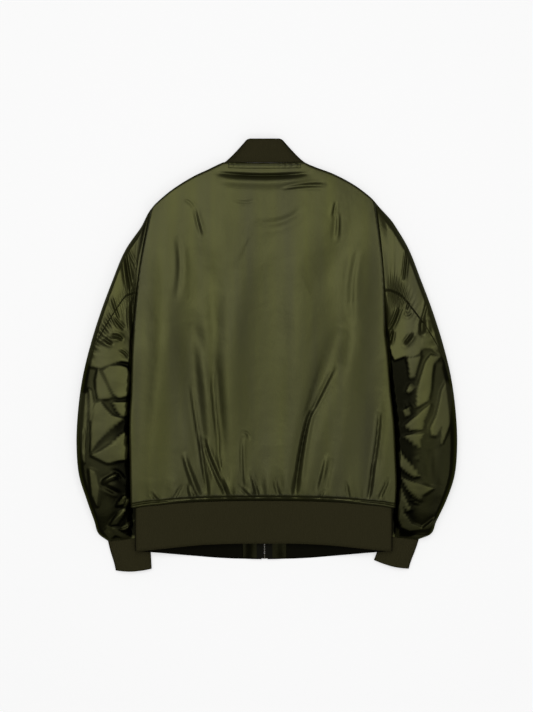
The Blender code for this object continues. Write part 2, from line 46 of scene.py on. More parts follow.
MM = 0.001
CLOTH = 0.9  # what shows of the cloth's thickness
# Painted shade in the cloth's hollows: how far the grid is evened out to find them, and the most it darkens.
PAINTED_SHADE_REACH = 24  # rounds of evening out over the grid
PAINTED_SHADE_MOST = 0.85
TURN_SAGITTA = 8.0  # of the side's turn over the fronts
FLAT_SHARE = 0.88  # of the half width, which lies flat before the side turns
HEM_Y, UNDERARM_Y, SHOULDER_Y = -262.0, 40.0, 259.0
ARMHOLE_Z = 31.5  # height of the armhole seam's highest stretch
NECK_X, NECK_Y = 71.5, 332.0
SHOULDER_TILT = 6.0  # how far the right shoulder's end lies up and the left one's down


def table(columns, *rows):
    """A table of numbers as {column: values}, a row for each section or fold."""
    return dict(zip(columns.split(), np.array(rows, float).T))


def through(rows, by, column, at):
    """The column's value where the column named by is at, on a smooth curve through the rows."""
    x, y = rows[by], rows[column]
    slope = np.gradient(y, x)
    at = np.clip(at, x[0], x[-1])
    i = np.clip(np.searchsorted(x, at, side="right") - 1, 0, len(x) - 2)
    step = x[i + 1] - x[i]
    t = (at - x[i]) / step
    ends = (1 + 2 * t) * (1 - t) ** 2 * y[i] + t * t * (3 - 2 * t) * y[i + 1]
    return ends + step * t * (1 - t) * ((1 - t) * slope[i] - t * slope[i + 1])


def ease(x):
    x = np.clip(x, 0, 1)
    return x * x * (3 - 2 * x)


def mix(a, b, t):
    return a + (b - a) * t


def creased(x, y, creases, strength=1.0, width=1.0):
    """How far each crease in the table moves the cloth at x and y: a trough between two low ridges.

    A crease bends through three places, its half width goes from w0 to w1, and lean makes one side
    steep and the other slack. A crease of negative depth is a ridge.
    """
    total = np.zeros(np.shape(x))
    for x0, y0, x1, y1, x2, y2, w0, w1, depth, lean in zip(*creases.values()):
        reach = 4.5 * max(w0, w1)
        near = (x > min(x0, x1, x2) - reach) & (x < max(x0, x1, x2) + reach)
        near &= (y > min(y0, y1, y2) - reach) & (y < max(y0, y1, y2) + reach)
        if not near.any():
            continue
        t = np.linspace(0, 1, 13)
        bend = np.array([2 * x1 - (x0 + x2) / 2, 2 * y1 - (y0 + y2) / 2])
        line = np.outer((1 - t) ** 2, [x0, y0]) + np.outer(2 * t * (1 - t), bend)
        line = line + np.outer(t * t, [x2, y2])
        start, way = line[:-1], np.diff(line, axis=0)
        to = np.stack([x[near], y[near]], axis=-1)[:, None] - start
        along = np.clip((to * way).sum(-1) / (way**2).sum(-1), 0, 1)
        off = to - along[..., None] * way
        off_length = np.linalg.norm(off, axis=-1)
        best = off_length.argmin(axis=1)
        pick = np.arange(len(best)), best
        side = np.sign(way[best, 0] * to[pick][:, 1] - way[best, 1] * to[pick][:, 0])
        share = (best + along[pick]) / len(start)
        s = side * off_length[pick] / (width * mix(w0, w1, share))
        s = s / (1 + 0.6 * lean * np.sign(s))
        shape = -np.exp(-s * s)
        shape = shape + 0.42 * (1 + lean) * np.exp(-(((s - 1.9) / 1.2) ** 2))
        shape = shape + 0.42 * (1 - lean) * np.exp(-(((s + 1.9) / 1.2) ** 2))
        total[near] += depth * shape * np.sqrt(np.clip(4 * share * (1 - share), 0.04, 1))
    return strength * total


def crumple(x, y, length, seed, waves=6):
    """Soft uneven ridges about this far apart, from -1 to 1: waves that bend one another."""
    rng = np.random.default_rng(seed)
    total = np.zeros(np.shape(x))
    for _ in range(waves):
        turn, phase, bend, size = rng.uniform(0, math.pi), *rng.uniform(0, 6.3, 2), rng.uniform(0.7, 1.5)
        along = (x * math.cos(turn) + y * math.sin(turn)) / (length * size)
        across = (y * math.cos(turn) - x * math.sin(turn)) / (length * size)
        total = total + 1 - 1.6 * np.abs(np.sin(along + phase + 0.9 * np.sin(0.8 * across + bend * phase)))
    return total / waves


def gathers(at, seed, spacing):
    """Uneven pleats along a seam, from -1 to 1, at a place along it."""
    rng = np.random.default_rng(seed)
    phase = rng.uniform(0, 6.3, 4)
    swing = 0.9 * np.sin(at / (3.1 * spacing) + phase[0]) + 0.6 * np.sin(at / (1.7 * spacing) + phase[1])
    size = 0.55 + 0.45 * np.sin(at / (2.3 * spacing) + phase[2])
    return size * np.sin(2 * math.pi * at / spacing + 2.2 * swing + phase[3])


BODY = table(
    "y half lean seam_z edge_z middle_z turn",
    (-262, 228, -2.5, 21, 37, 34, 3.05),
    (-221, 230, -2, 21, 38, 34, 3.05),
    (-180, 229.5, -3, 21, 38, 33, 3.05),
    (-111, 228, -5, 21, 38, 32, 3.05),
    (-61, 224, -6.5, 20, 37, 32, 3.05),
    (0, 221, -8, 19, 37, 32, 2.60),
    (40, 219, -9, 12, 35, 32, 1.70),
    (90, 215, -8.5, 12, 34, 32, 1.25),
    (150, 210, -8, 12, 34, 32, 1.25),
    (220, 201, -5, 12, 33, 31, 1.25),
    (259, 195, -2.5, 12, 31, 30, 1.25),
)
SHOULDER = table(
    "x y", (71.5, 333), (94, 323), (118, 313), (138, 302.5), (165, 285), (182, 271), (195, 259)
)
HEM = table(
    "x back_seam back_edge front_seam front_edge back_z lift",
    (0, -251, -325, -279, -354, 24, 0),
    (60, -251.5, -325.5, -278, -353, 24, 0),
    (115, -253, -328, -275, -349, 26, 1),
    (150, -255, -331, -271, -345, 29, 10),
    (182, -258, -334, -267, -341, 33, 20),
    (205, -260, -336, -265, -339, 35, 21),
    (222, -263, -337, -263, -337, 35, 21),
)


def flat_ring(angle, crown, inner, low_from=1.0, flatness=0.0):
    """(share of the way from outer to inner edge, height) round a sleeve's tube that lies flat."""
    cos, sin = np.cos(angle), np.abs(np.sin(angle))
    across = 0.5 * (1 - np.sign(cos) * np.abs(cos) ** mix(1, 0.85, flatness))
    edge = mix(0.40 * crown, 0.52 * inner, across)
    top = mix(crown, inner, ease((across - low_from + 0.5) / 0.5))
    over = edge + (top - edge) * sin ** mix(1, 0.75, flatness)
    under = edge * (1 - sin ** mix(1, 0.45, flatness))
    return across, np.where(np.sin(angle) >= 0, over, under)


def armhole_share(y):
    return np.clip((SHOULDER_Y - y) / (SHOULDER_Y - UNDERARM_Y), 0, 1)


def seam_height(y, on_top):
    """Height of the armhole seam, and below it of the side seam."""
    angle = np.arccos(1 - 2 * armhole_share(y))
    armhole = flat_ring(angle if on_top else 2 * math.pi - angle, ARMHOLE_Z, ARMHOLE_Z)[1]
    return np.where(y > UNDERARM_Y, armhole, through(BODY, "y", "seam_z", y))


def body_edge(y, column, bow):
    share = armhole_share(y)
    straight = mix(BODY[column][-1], through(BODY, "y", column, UNDERARM_Y), share)
    armhole = straight + bow * np.sin(math.pi * share)
    return np.where(y > UNDERARM_Y, armhole, through(BODY, "y", column, y))


def top_outline(x):
    """The upper outline: the neck seam across the back, then the shoulder."""
    x = np.abs(x)
    return np.where(x < NECK_X, NECK_Y + 1.5 * (x / NECK_X) ** 2, through(SHOULDER, "x", "y", x))


def tilt(x, edge_y):
    """How far up the shoulder line is moved at x: the right shoulder lies higher than the left."""
    out = (np.abs(x) - NECK_X) / (BODY["half"][-1] - NECK_X)
    return np.sign(x) * SHOULDER_TILT * np.clip(out, 0, 1) * (1 - armhole_share(edge_y))


def back_points(up, across):
    """Points of the back: up from 0 at the hem to 1, across from -1 to 1 between its side edges."""
    rise = np.sin(0.5 * math.pi * np.clip((up - 0.9) / 0.1, 0, 1)) * 0.1 + np.minimum(up, 0.9)
    edge_y = mix(HEM_Y, SHOULDER_Y, rise)
    half, turn = body_edge(edge_y, "half", 3.5), through(BODY, "y", "turn", edge_y)
    lean = body_edge(edge_y, "lean", 0)
    share = np.abs(across)
    over_edge = np.clip((share - FLAT_SHARE) / (1 - FLAT_SHARE), 0, 1)
    angle = turn * over_edge
    along_flat = np.minimum(share / FLAT_SHARE, 1)
    reach = (half - TURN_SAGITTA) * along_flat + TURN_SAGITTA * np.sin(angle)
    x = np.sign(across) * reach
    top_x = (BODY["half"][-1] - TURN_SAGITTA) * along_flat
    top_x = np.sign(across) * (top_x + TURN_SAGITTA * np.sin(0.5 * math.pi * over_edge))
    hem_y = through(HEM, "x", "back_seam", np.abs(x)) + 0.4
    y = mix(hem_y, top_outline(top_x), rise) + tilt(top_x, edge_y)
    neck = 1 - ease((np.abs(top_x) - 62) / 20)
    x = x + lean * (1 - neck * ease(up))
    height = mix(through(BODY, "y", "middle_z", edge_y), through(BODY, "y", "edge_z", edge_y), share**3)
    side_drop = ((1 - np.cos(angle)) / (1 - np.cos(turn))) ** 1.7
    low = y - hem_y
    folds = 0.8 * creased(x, y, BACK_BROAD) + creased(x, y, BACK_CREASES, 0.8, 0.7)
    folds = folds + 0.5 * crumple(x, y, 34, 3)
    hem_gather = 1.3 * gathers(x, 5, 15) * np.exp(-low / 16)
    hem_gather = hem_gather + 1.4 * gathers(x, 8, 34) * np.exp(-(((low - 22) / 24) ** 2))
    height = height + (folds + hem_gather) * (1 - 0.75 * side_drop) * ease(low / 7)
    # Puckers along the armhole seam.
    to_seam = (1 - share) * half / FLAT_SHARE
    armhole = ease((edge_y - 30) / 30)
    height = height + 0.7 * armhole * gathers(y, 9, 11) * np.exp(-((to_seam - 5) / 9) ** 2)
    # The one deep fold across the back where the cloth sags under the neck seam.
    dip = 313.2 - 3.2 * np.cos(x / 42)
    slit = np.exp(-(((y - dip) / mix(2.4, 3.4, ease((dip - y) / 6 + 0.5))) ** 2))
    height = height - 5.0 * slit * (1 - ease((np.abs(x + 3) - 30) / 58))
    roll = np.exp(-(((y - dip + 12) / 9) ** 2)) * (1 - ease((np.abs(x + 3) - 50) / 40))
    height = height + 2.2 * roll
    seam = seam_height(edge_y, True)
    top_drop = 1 - np.sqrt(1 - np.clip((up - 0.965) / 0.035, 0, 1) ** 3)
    z = height - (height - seam) * side_drop
    z = z - (height - mix(12.0, 26.0, neck)) * top_drop * (1 - side_drop)
    hem_drop = np.exp(-((y - hem_y) / 5.0) ** 2)
    bead = 1.3 * np.exp(-(((y - hem_y - 2.6) / 1.8) ** 2)) - 2.2 * np.exp(-(((y - hem_y - 6.6) / 1.5) ** 2))
    z = z + bead * (1 - side_drop)
    z = z - (height - through(HEM, "x", "back_z", np.abs(x))) * hem_drop * (1 - side_drop)
    return np.stack([x, y, z], axis=-1)


# The back's broad folds and its creases, from their upper end down.
CREASE_COLUMNS = "x0 y0 x1 y1 x2 y2 w0 w1 depth lean"
BACK_BROAD = table(
    CREASE_COLUMNS,
    (-170, 190, -176, 20, -198, -215, 26, 16, -3.0, 0.2),
    (-128, 60, -118, -70, -98, -240, 16, 12, 3.0, -0.3),
    (-89, 113, -86, 10, -78, -163, 12, 9, 1.6, 0.3),
    (-120, 49, -90, -45, -80, -190, 10, 9, 1.5, 0.3),
    (-40, 150, -52, -20, -42, -230, 24, 20, -2.4, -0.2),
    (40, 170, 58, 10, 30, -230, 26, 22, -2.2, 0.2),
    (132, 50, 80, -95, 52, -240, 16, 9, 3.2, 0.4),
    (150, 190, 152, 0, 118, -230, 22, 18, -2.6, 0.2),
    (198, -60, 190, -160, 178, -250, 14, 9, 2.6, -0.3),
    (20, 270, 8, 60, 2, -160, 40, 46, 1.8, 0.0),
    (-150, 235, -110, 150, -60, 110, 22, 30, 1.6, 0.2),
    (150, 235, 120, 160, 70, 120, 22, 30, 1.6, -0.2),
)
BACK_CREASES = table(
    CREASE_COLUMNS,
    (-112, -140, -106, -185, -96, -243, 2.6, 3.4, 2.6, -0.3),
    (-104, -146, -91, -188, -63, -246, 2.6, 5.0, 4.2, 0.4),
    (-82, -146, -75, -199, -66, -236, 2.4, 3.0, 2.0, 0.2),
    (-41, -133, -30, -134, -26, -145, 2.2, 2.4, 2.2, 0.0),
    (-38, -140, -40, -175, -38, -226, 2.2, 3.2, 2.2, 0.3),
    (-24, -202, -17, -224, -12, -244, 2.4, 3.6, 2.8, 0.2),
    (-44, -225, -32, -238, -18, -248, 2.4, 3.2, 2.6, 0.2),
    (-144, -224, -150, -236, -156, -247, 2.6, 3.2, 2.6, 0.2),
    (-134, -221, -134, -232, -131, -246, 2.4, 3.0, 1.8, 0.0),
    (-125, -224, -121, -236, -116, -248, 2.4, 3.2, 2.4, -0.2),
    (-195, -236, -188, -246, -179, -256, 2.6, 3.4, 2.8, 0.2),
    (-138, -172, -128, -205, -112, -243, 5.0, 6.0, -2.6, 0.2),
    (-90, -30, -86, -95, -77, -168, 3.0, 3.0, 1.4, 0.3),
    (-126, -52, -117, -115, -108, -166, 3.0, 3.0, 1.5, -0.3),
    (118, -22, 90, -78, 77, -104, 3.6, 3.2, 2.2, 0.4),
    (80, -96, 66, -146, 51, -243, 3.0, 5.0, 4.2, 0.4),
    (198, -100, 194, -146, 185, -205, 2.6, 3.0, 2.8, -0.3),
    (187, -185, 182, -225, 176, -254, 2.8, 3.6, 3.2, 0.3),
    (212, -212, 206, -228, 197, -246, 2.8, 3.6, 3.0, 0.2),
    (102, -232, 98, -240, 93, -249, 2.4, 3.2, 2.2, 0.0),
    (107, -175, 101, -205, 92, -236, 5.0, 6.0, -2.4, 0.2),
    (140, -218, 143, -234, 147, -250, 3.0, 3.6, 1.8, 0.0),
    (18, -212, 20, -228, 26, -246, 3.0, 3.6, 1.6, 0.2),
    (-121, 252, -116, 228, -110, 206, 2.8, 4.0, 1.8, 0.5),
    (-121, 252, -128, 262, -138, 268, 2.4, 2.8, 1.4, 0.0),
    (123, 264, 121, 252, 119, 240, 2.4, 3.2, 1.8, -0.3),
    (127, 244, 127, 222, 125, 199, 3.4, 4.4, -1.6, -0.3),
    (32, 287, 68, 292, 103, 293, 3.0, 4.4, -1.8, 0.2),
    (-51, 266, -34, 264, -18, 266, 2.6, 2.6, 1.2, 0.0),
    (-150, 200, -146, 150, -152, 100, 6.0, 7.0, 1.2, 0.2),
    (160, 180, 150, 120, 152, 60, 6.0, 8.0, 1.2, -0.2),
    (60, 250, 30, 232, -10, 228, 7.0, 9.0, 1.0, 0.2),
)


class Wire:
    """A shader socket that takes part in sums."""

    def __init__(self, tree, socket):
        self.tree, self.socket = tree, socket

    def node(self, kind, inputs=(), output=0, **settings):
        """An output of a new node; inputs are by name or number."""
        made = self.tree.nodes.new(kind)
        for name, value in settings.items():
            setattr(made, name, value)
        for name, value in dict(inputs).items():
            if isinstance(value, Wire):
                self.tree.links.new(value.socket, made.inputs[name])
            else:
                made.inputs[name].default_value = value
        return Wire(self.tree, made.outputs[output])

    def _sum(self, operation, first, second=0.0):
        return self.node("ShaderNodeMath", {0: first, 1: second}, operation=operation)

    def __add__(self, other):
        return self._sum("ADD", self, other)

    def __sub__(self, other):
        return self._sum("SUBTRACT", self, other)

    def __rsub__(self, other):
        return self._sum("SUBTRACT", other, self)

    def __mul__(self, other):
        return self._sum("MULTIPLY", self, other)

    def __truediv__(self, other):
        return self._sum("DIVIDE", self, other)

    def __abs__(self):
        return self._sum("ABSOLUTE", self)

    def sine(self):
        return self._sum("SINE", self)

    __radd__, __rmul__ = __add__, __mul__


def new_material(name, colour, roughness, metallic=0.0):
    """(material, its Principled shader, a wire at the object's coordinates)."""
    made = bpy.data.materials.new(name)
    made.use_nodes = True
    tree = made.node_tree
    shader = tree.nodes["Principled BSDF"]
    shader.inputs["Base Color"].default_value = (*colour, 1)
    shader.inputs["Roughness"].default_value = roughness
    shader.inputs["Metallic"].default_value = metallic
    coordinates = tree.nodes.new("ShaderNodeTexCoord")
    return made, shader, Wire(tree, coordinates.outputs["Object"])


def noise(place, scale, detail=3.0):
    inputs = {"Vector": place, "Scale": scale, "Detail": detail, "Roughness": 0.55}
    return place.node("ShaderNodeTexNoise", inputs)


def tinted(place, first, second, by):
    """A colour between two, each a wire or three numbers."""
    ends = {6: first, 7: second}
    ends = {at: end if isinstance(end, Wire) else (*end, 1) for at, end in ends.items()}
    return place.node("ShaderNodeMix", {0: by, **ends}, output=2, data_type="RGBA")


def set_input(shader, name, wire):
    wire.tree.links.new(wire.socket, shader.inputs[name])


def bumped(shader, height, strength, distance):
    inputs = {"Height": height, "Strength": strength, "Distance": distance}
    set_input(shader, "Normal", height.node("ShaderNodeBump", inputs))


# Satin nylon: its highlights take the cloth's colour, as in a filament weave, with painted sheen in
# faint bands that run up the cloth, and small soft rumples below the mesh's size.
nylon, shader, place = new_material("nylon_satin", (0.05, 0.05, 0.018), 0.3, 0.62)
shader.inputs["Specular IOR Level"].default_value = 0.3
shader.inputs["Specular Tint"].default_value = (0.8, 0.85, 0.45, 1)
# Painted shade: the attribute darkens the nylon's colour to near black in its hollows and makes it more
# metallic there, so its highlights darken too.
painted_shade = place.node("ShaderNodeAttribute", attribute_name="painted_shade", output="Fac")
# Painted sheen: soft lighter and darker bands running up the cloth stand in for the satin's sheen.
sheen_band_place = place.node("ShaderNodeVectorMath", {0: place, 1: (30, 2.6, 30)}, operation="MULTIPLY")
painted_sheen_bands = 1.6 * noise(sheen_band_place, 1.0, 2.0) - 0.3
sheen_banded_colour = tinted(place, (0.046, 0.045, 0.022), (0.062, 0.063, 0.019), painted_sheen_bands)
set_input(shader, "Base Color", tinted(place, sheen_banded_colour, (0.004, 0.004, 0.002), painted_shade))
set_input(shader, "Metallic", 0.62 + 0.36 * painted_shade)
set_input(shader, "Roughness", 0.28 + 0.06 * noise(place, 30))
rumples = noise(place, 40, 2.0) + 0.25 * noise(place, 140, 2.0)
bumped(shader, rumples, 0.25, 0.0015)


def placed(name, data):
    """A new object in the scene."""
    made = bpy.data.objects.new(name, data)
    bpy.context.scene.collection.objects.link(made)
    return made


def smoothed(field, rounds):
    """The field evened out over the grid, as if its edges went on outwards."""
    for _ in range(rounds):
        p = np.pad(field, 1, mode="edge")
        field = (p[2:, 1:-1] + p[:-2, 1:-1] + p[1:-1, 2:] + p[1:-1, :-2] + 2 * p[1:-1, 1:-1]) / 6
    return field


def cloth(name, surface, v, u, side=1, wall=CLOTH, finish=nylon, tube=False, shade=(0.7, 1.8)):
    """A thin shell over the surface's grid of v and u, facing along its normal times side.

    Its attribute of painted shade, up to 1, darkens the cloth's colour: by how deep a place of the
    nylon lies below its surroundings, where shade is the depth it begins at and the depth it takes to
    the full, or by the surface's fourth column of painted shade, whichever is more.
    """
    points = surface(v, u)
    given_shade = points[..., 3] if points.shape[-1] > 3 else 0.0
    points = points[..., :3]
    rows, columns = v.shape
    height = points[..., 2]
    # Painted shade: places lying below their surroundings are darkened in colour, not only by the light.
    around = smoothed(height, PAINTED_SHADE_REACH)
    painted_shade = PAINTED_SHADE_MOST * ease((around - height - shade[0]) / shade[1]) if finish == nylon else 0 * height
    painted_shade = np.maximum(painted_shade, given_shade)
    wrap = columns if tube else columns - 1
    r, c = np.meshgrid(np.arange(rows - 1), np.arange(wrap), indexing="ij")
    d = (c + 1) % columns
    faces = np.stack([r * columns + c, r * columns + d, (r + 1) * columns + d, (r + 1) * columns + c], -1)
    faces = faces.reshape(-1, 4)[:, ::side]
    mesh = bpy.data.meshes.new(name)
    mesh.from_pydata((points.reshape(-1, 3) * MM).tolist(), [], faces.tolist())
    mesh.polygons.foreach_set("use_smooth", [True] * len(mesh.polygons))
    mesh.materials.append(finish)
    mesh.update()
    mesh.attributes.new("painted_shade", "FLOAT", "POINT").data.foreach_set("value", painted_shade.reshape(-1))
    made = placed(name, mesh)
    thick = made.modifiers.new("Cloth", "SOLIDIFY")
    thick.thickness = wall * MM
    thick.offset = -1
    thick.use_even_offset = False
    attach(made, "jacket")
    return made


def grid(rows, columns):
    return np.meshgrid(np.asarray(rows, float), np.asarray(columns, float), indexing="ij")


half = np.concatenate([np.linspace(0, FLAT_SHARE, 84), np.linspace(FLAT_SHARE, 1, 11)[1:]])
across = np.concatenate([-half[::-1], half[1:]])
up = [np.linspace(0, 0.03, 20), np.linspace(0.03, 0.9, 190)[1:], np.linspace(0.9, 1, 48)[1:]]
up = np.concatenate(up)
v, u = grid(up, across)
back = cloth("back_panel", back_points, v, u, shade=(1.1, 2.4))
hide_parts("back")

# --- fronts --------------------------------------------------------------------------------------
# The two fronts lie under the back, their outsides on the surface, closed by the zip between them.
# Their edges rise a little to it, and their sides rise over the sleeves to the side seams.

ZIP_HALF, ZIP_LIFT, ZIP_LIFT_HALF, HEM_TAB = 5.0, 4.5, 16.0, 38.0
FRONT_NECK_DROP = 84.0
FRONT_CREASES = table(
    CREASE_COLUMNS,
    (150, 190, 120, 60, 96, -60, 12, 9, -2.2, 0.3),
    (60, 120, 80, -40, 70, -180, 10, 14, -2.0, -0.2),
    (90, -120, 78, -180, 60, -255, 6, 8, -2.6, 0.4),
    (40, -205, 36, -235, 30, -268, 4, 6, -1.8, 0.2),
    (118, -190, 120, -225, 112, -262, 5, 6, -2.0, -0.3),
    (70, 300, 98, 240, 104, 190, 8, 10, -1.8, 0.3),
    (35, 150, 62, 165, 96, 160, 6, 8, -1.6, 0.2),
    (28, 10, 60, 26, 110, 24, 7, 8, -1.7, -0.2),
)


def zip_lift(reach):
    """How far the fronts' edges are held up, at a distance from the middle."""
    return ZIP_LIFT * (1 - ease((reach - ZIP_LIFT_HALF) / 22))


def front_neck(x):
    """The neck seam across the front."""
    return top_outline(x) - FRONT_NECK_DROP * np.sqrt(np.clip(1 - (x / NECK_X) ** 2, 0, 1))


def front_points(up, out, side):
    """Points of a front: up from hem to shoulder, out from 0 at the zip to 1 at the side."""
    edge_y = mix(HEM_Y, SHOULDER_Y, up)
    turn = through(BODY, "y", "turn", edge_y)
    half = body_edge(edge_y, "half", 3.5)
    half = half - TURN_SAGITTA * (1 - np.sin(np.maximum(turn, math.pi / 2)))
    reach = mix(ZIP_HALF, half, out)
    top_x = mix(ZIP_HALF, BODY["half"][-1], out)
    y = mix(through(HEM, "x", "front_seam", reach) + 0.4, front_neck(top_x), up)
    y = y + tilt(side * top_x, edge_y)
    x = side * reach + body_edge(edge_y, "lean", 0) * ease((reach - 30) / 120)
    tucked = mix(100.0, 45.0, ease((edge_y - UNDERARM_Y) / 100))
    rise = ease((reach - half + tucked) / (0.52 * tucked))
    z = zip_lift(reach) + seam_height(edge_y, False) * rise
    folds = creased(reach, y + 9 * side, FRONT_CREASES) + 0.5 * crumple(x, y, 38, 21 + side)
    low = y - through(HEM, "x", "front_seam", reach)
    folds = folds + 1.2 * gathers(reach, 31 + side, 17) * np.exp(-low / 18)
    z = z + np.maximum(folds, 0) * ease((reach - 16) / 20) * ease(low / 7) * (1 - 0.6 * rise)
    near_top = 1 - np.sqrt(1 - np.clip((up - 0.93) / 0.07, 0, 1) ** 2)
    z = z + (12.0 - z) * near_top * ease((top_x - 50) / 30)
    return np.stack([x, y, z], axis=-1)


out = np.concatenate([np.linspace(0, 0.3, 32), np.linspace(0.3, 1, 52)[1:]])
v, u = grid(np.concatenate([np.linspace(0, 0.93, 150), np.linspace(0.93, 1, 18)[1:]]), out)
for name, side in (("left", -1), ("right", 1)):
    front = cloth("front_panel_" + name, partial(front_points, side=side), v, u, -side)
    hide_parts("front_" + name)

# --- sleeves -------------------------------------------------------------------------------------
# Each sleeve is a flattened tube that hangs down beside the body, its inner edge folded in under the
# body's side and its end gathered into the cuff: an upper piece round the outer edge, and an under
# piece, joined by a puckered back seam that runs from the armhole out to the sleeve's edge.

TUCKED_Z, CUFF_SEAM_Z, CUFF_END_Z = 14.5, 16.5, 15.0
SLEEVE_LEAN = 4.0  # how far the outer edges lie to the right of an even outline
PANES_TOP_Y = 14.0  # the lower sleeves are crumpled, the upper ones smooth
PANE_DEPTH = 1.6  # how far the cloth sinks between the facets
SLEEVE = table(
    "row out_x out_y in_y tuck crown",
    (0, 195, 259, 40, 0, 31.5),
    (1, 221, 222, 32, -2, 35),
    (2, 246, 182, 22, -2, 38),
    (3, 267, 130, 8, 0, 40),
    (4, 287, 76, -12, 5, 42),
    (5, 304, 22, -42, 19, 44),
    (6, 318, -35, -85, 33, 46),
    (7, 326, -92, -130, 41, 48),
    (8, 329, -150, -178, 42, 49),
    (9, 325, -205, -220, 40, 48),
    (10, 311, -250, -254, 38, 44),
    (11, 296, -287, -284, 35, 38),
    (11.6, 287, -310, -303, 33, 30),
)
BACK_SEAM = table("row angle", (0, 1.95), (2, 1.55), (4, 1.05), (5.5, 0.45), (6.5, 0.05), (12, -0.15))
FRONT_SEAM = table("row angle", (0, -1.95), (4, -2.0), (12, -2.3))

# Outlines of the crumpled cloth's flat facets, x outwards from the middle and y. Between them the
# cloth sinks and is darkened by painted shade.
LEFT_PANES = (
    ((306, 20), (232, 20), (230, -2), (234, -11), (246, -9), (262, -14), (281, -22), (300, -18),
     (306, -6)),
    ((266, -19), (248, -18), (238, -21), (231, -30), (230, -48), (236, -69), (250, -73), (259, -65),
     (277, -27)),
    ((285, -24), (289, -42), (288, -62), (285, -75), (268, -74), (262, -71), (272, -50), (283, -29)),
    ((290, -82), (281, -80), (273, -91), (261, -104), (243, -109), (262, -124), (286, -148),
     (297, -164), (297, -118)),
    ((260, -81), (236, -81), (237, -103), (245, -104), (253, -95)),
    ((296, -171), (280, -164), (262, -152), (248, -138), (240, -133), (236, -142), (236, -178),
     (252, -180), (268, -185)),
    ((319, -62), (307, -66), (304, -90), (306, -130), (308, -160), (309, -183), (313, -178),
     (317, -140), (320, -95)),
    ((301, -58), (297, -62), (293, -84), (297, -112), (300, -112), (300, -84)),
    ((277, -219), (263, -206), (254, -203), (262, -213)),
    ((252, -257), (241, -241), (237, -243), (245, -256)),
    ((242, -260), (235, -246), (231, -249), (238, -259)),
    ((264, -291), (250, -268), (240, -263), (243, -274), (254, -290)),
    ((248, -300), (237, -288), (225, -285), (233, -294), (240, -301)),
    ((277, -303), (267, -296), (254, -299), (244, -307), (232, -314), (244, -316), (258, -310), (268, -318)),
    ((300, -196), (291, -200), (284, -226), (288, -258), (296, -240)),
)
RIGHT_PANES = (
    ((217, 17), (271, 17), (266, 3), (254, -3), (240, -1), (224, -7), (219, 2)),
    ((289, 17), (313, 17), (319, -6), (325, -36), (318, -42), (308, -8), (300, 2), (290, 8)),
    ((245, -5), (268, -2), (262, -20), (257, -39), (250, -37), (248, -20)),
    ((301, -2), (290, -14), (287, -34), (285, -60), (281, -77), (261, -89), (262, -62), (269, -36),
     (277, -12), (286, 0)),
    ((313, -44), (305, -60), (301, -80), (295, -104), (285, -124), (286, -136), (294, -138),
     (304, -120), (303, -152), (309, -140), (318, -116), (321, -92), (324, -60)),
    ((284, -85), (276, -91), (262, -103), (242, -121), (250, -128), (272, -127), (273, -112), (280, -97)),
    ((240, -139), (256, -136), (273, -134), (267, -145), (266, -158), (255, -150)),
    ((230, -163), (240, -176), (253, -190), (265, -206), (257, -209), (245, -201), (233, -190)),
    ((235, -210), (256, -219), (289, -228), (271, -240), (267, -249), (258, -243), (246, -230)),
    ((233, -226), (240, -243), (250, -265), (246, -268), (238, -258), (241, -274), (252, -290),
     (272, -299), (250, -302), (237, -296), (230, -280)),
    ((225, -295), (230, -299), (235, -318), (227, -321), (224, -311)),
    ((296, -280), (284, -290), (272, -299), (282, -298), (298, -288)),
    ((238, -318), (262, -309), (284, -311), (262, -315), (244, -322)),
    ((256, -56), (250, -50), (244, -62), (250, -64)),
    ((248, -90), (240, -94), (244, -104), (250, -100)),
)
LEFT_CREASES = table(
    CREASE_COLUMNS,
    (239, 174, 235, 145, 228, 108, 2.2, 3.2, 4.6, 0.3),
    (237, 185, 229, 168, 220, 149, 1.4, 1.6, 1.4, -0.2),
    (227, 98, 228, 68, 226, 38, 3.0, 3.0, 6.0, 0.0),
    (262, 33, 252, 33, 245, 28, 3.0, 2.4, 4.0, 0.2),
    (274, 30, 268, 24, 262, 22, 2.6, 2.4, 3.6, 0.2),
    (258, 64, 250, 54, 242, 46, 1.8, 2.2, 2.6, 0.2),
    (262, 100, 256, 80, 250, 62, 2.4, 2.6, 1.6, 0.2),
    (248, 8, 240, 4, 235, -4, 1.8, 2.0, 2.0, 0.2),
    (278, -216, 266, -210, 253, -205, 2.6, 2.8, -3.0, 0.3),
    (252, -257, 245, -248, 239, -240, 2.4, 2.4, -2.6, 0.2),
    (243, -258, 238, -252, 233, -246, 2.0, 2.2, -2.6, 0.2),
    (264, -290, 252, -278, 240, -266, 3.0, 3.2, -3.2, 0.2),
    (248, -300, 237, -297, 226, -287, 2.4, 2.4, -3.4, 0.2),
    (252, -238, 262, -232, 276, -224, 3.0, 4.0, 2.4, 0.2),
    (258, -196, 250, -202, 240, -214, 2.6, 3.0, 3.0, 0.2),
    (266, -300, 258, -310, 252, -318, 2.4, 2.6, 3.0, 0.2),
    (309, -126, 308, -145, 310, -168, 1.6, 1.8, 2.0, 0.0),
)
